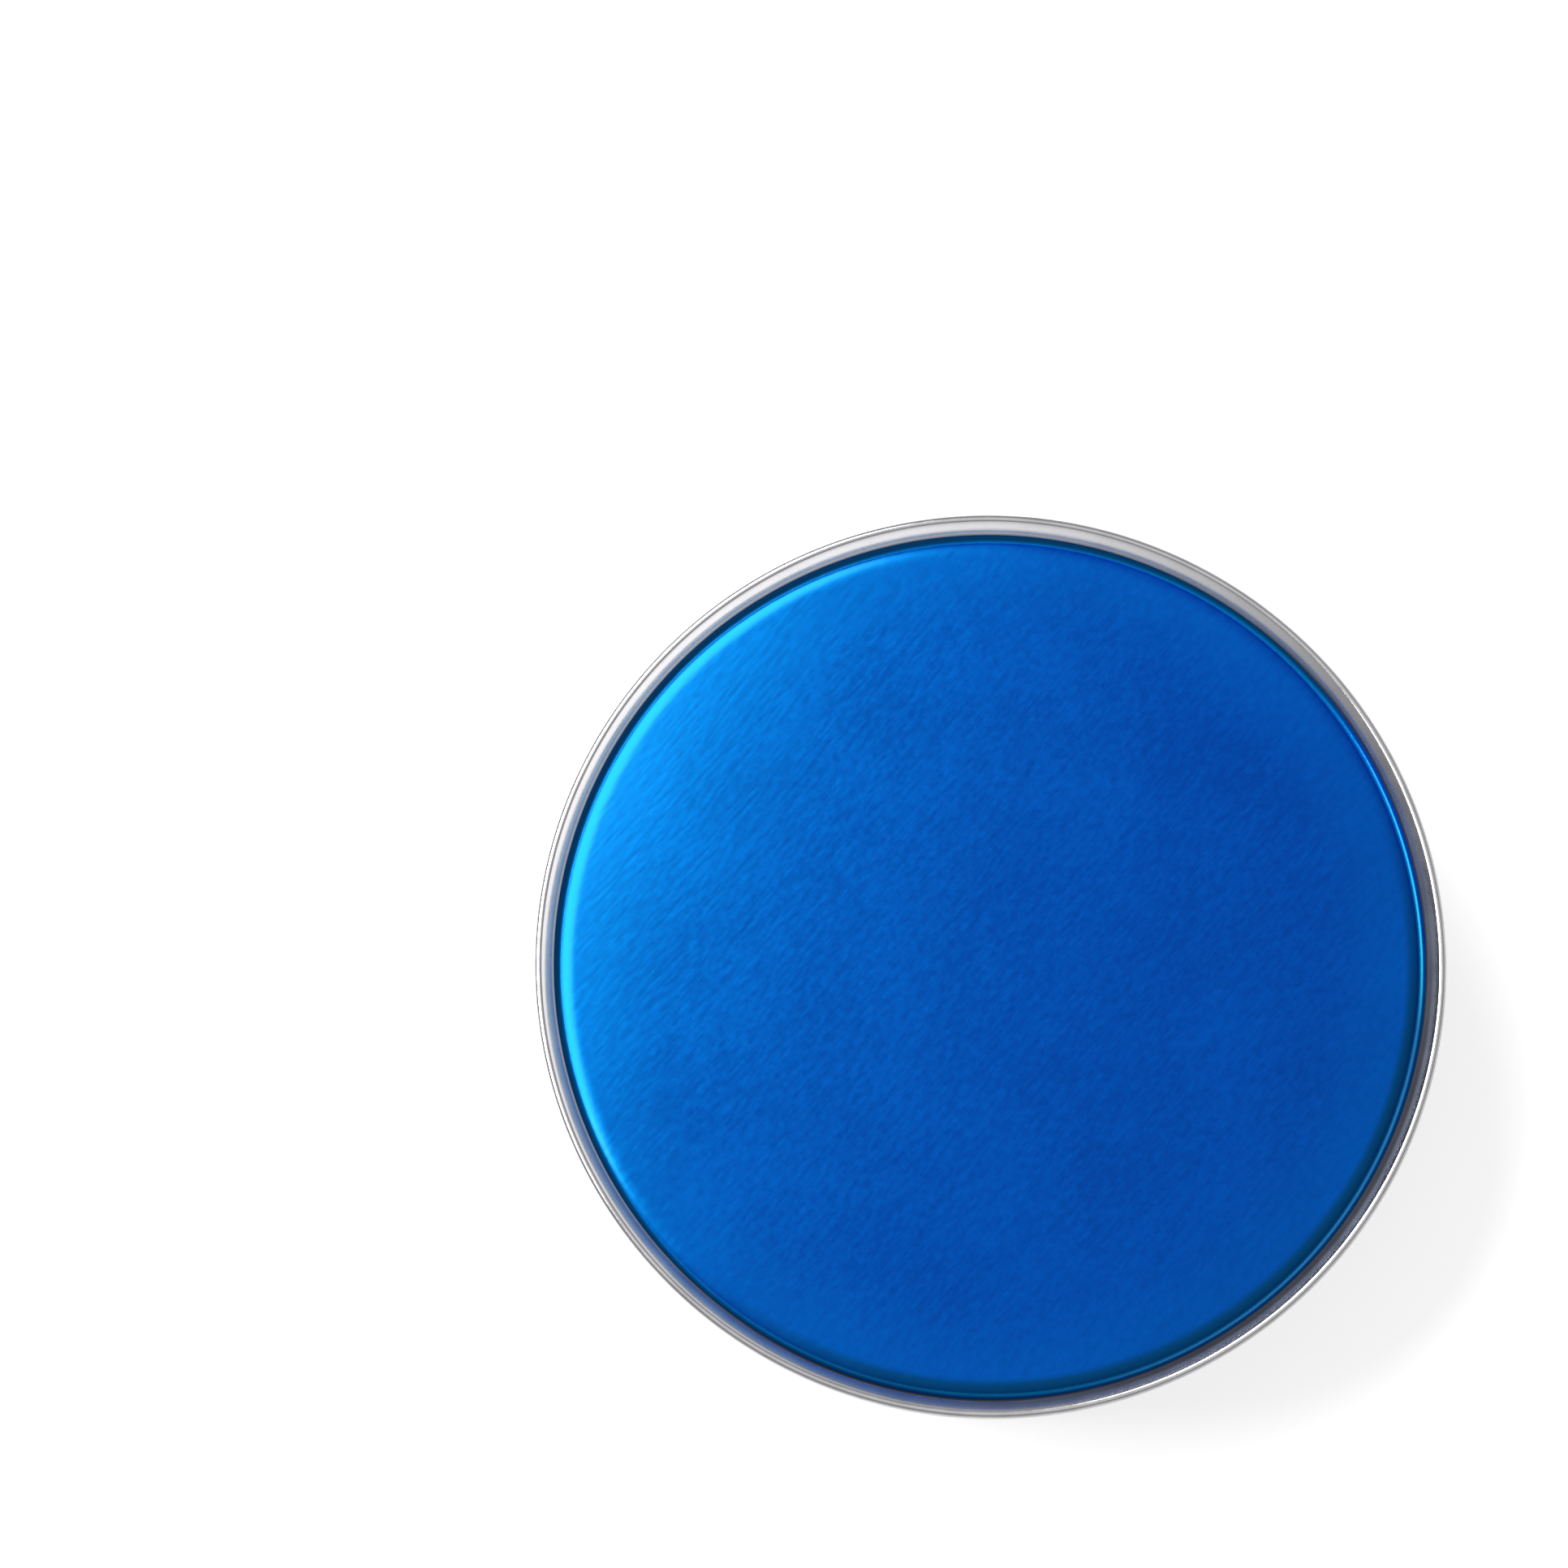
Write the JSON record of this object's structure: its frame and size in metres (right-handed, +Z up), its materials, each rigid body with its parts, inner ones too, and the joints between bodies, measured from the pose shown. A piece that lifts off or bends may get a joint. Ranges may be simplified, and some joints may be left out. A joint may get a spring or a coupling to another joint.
{
  "type": "mint tin",
  "caption": "Shallow round slip-lid tin with a blue lacquered disc in a bare rolled rim, holding flat round mints.",
  "frame": {"origin": "middle of the foot, on the surface that the tin stands on", "axes": "+Z up along the axis of the tin, out through the lid"},
  "size_m": [0.062, 0.062, 0.017],
  "materials": {
    "blue_lacquer": "satin metallic lacquer",
    "tinplate": "bare rolled tinplate, satin",
    "mint": "pressed sugar, fine matt grain"
  },
  "bodies": {
    "base": {"base_shell": "tinplate", "mint_1": "mint", "mint_2": "mint", "mint_3": "mint", "mint_4": "mint", "mint_5": "mint", "mint_6": "mint"},
    "lid": {"lid_rim": "tinplate", "lid_panel": "blue_lacquer"}
  },
  "joints": [
    {"name": "lid_lift", "type": "slide", "parent": "base", "child": "lid", "axis": [0, 0, 1], "range_m": [0, 0.03]}
  ]
}
